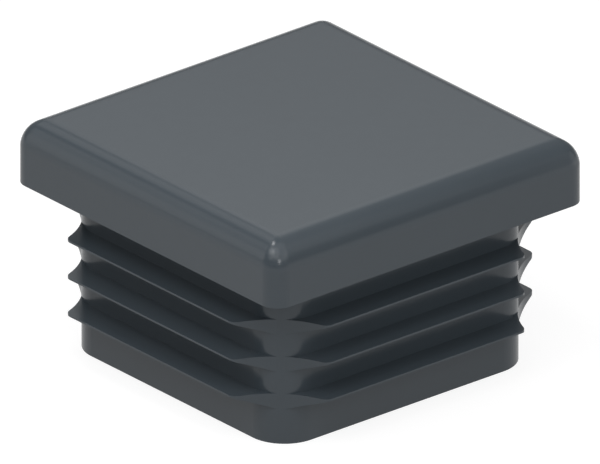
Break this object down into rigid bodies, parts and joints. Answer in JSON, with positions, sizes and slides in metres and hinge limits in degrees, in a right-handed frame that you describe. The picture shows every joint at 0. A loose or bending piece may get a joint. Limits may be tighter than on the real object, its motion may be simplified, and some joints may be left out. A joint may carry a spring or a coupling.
{
  "type": "square tube end cap",
  "caption": "Square moulded end cap with a thick round-edged head and a hollow shank whose thin ledges grip the inside of a square tube.",
  "frame": {"origin": "centre of the shank's open rim, on the centre line of the tube", "axes": "+Z out of the tube, from the shank's rim towards the head; X and Y square to the flat sides"},
  "size_m": [0.04, 0.04, 0.0241],
  "materials": {
    "moulded_plastic": "satin dark grey, as moulded"
  },
  "bodies": {
    "root": {"end_cap": "moulded_plastic"}
  },
  "joints": []
}
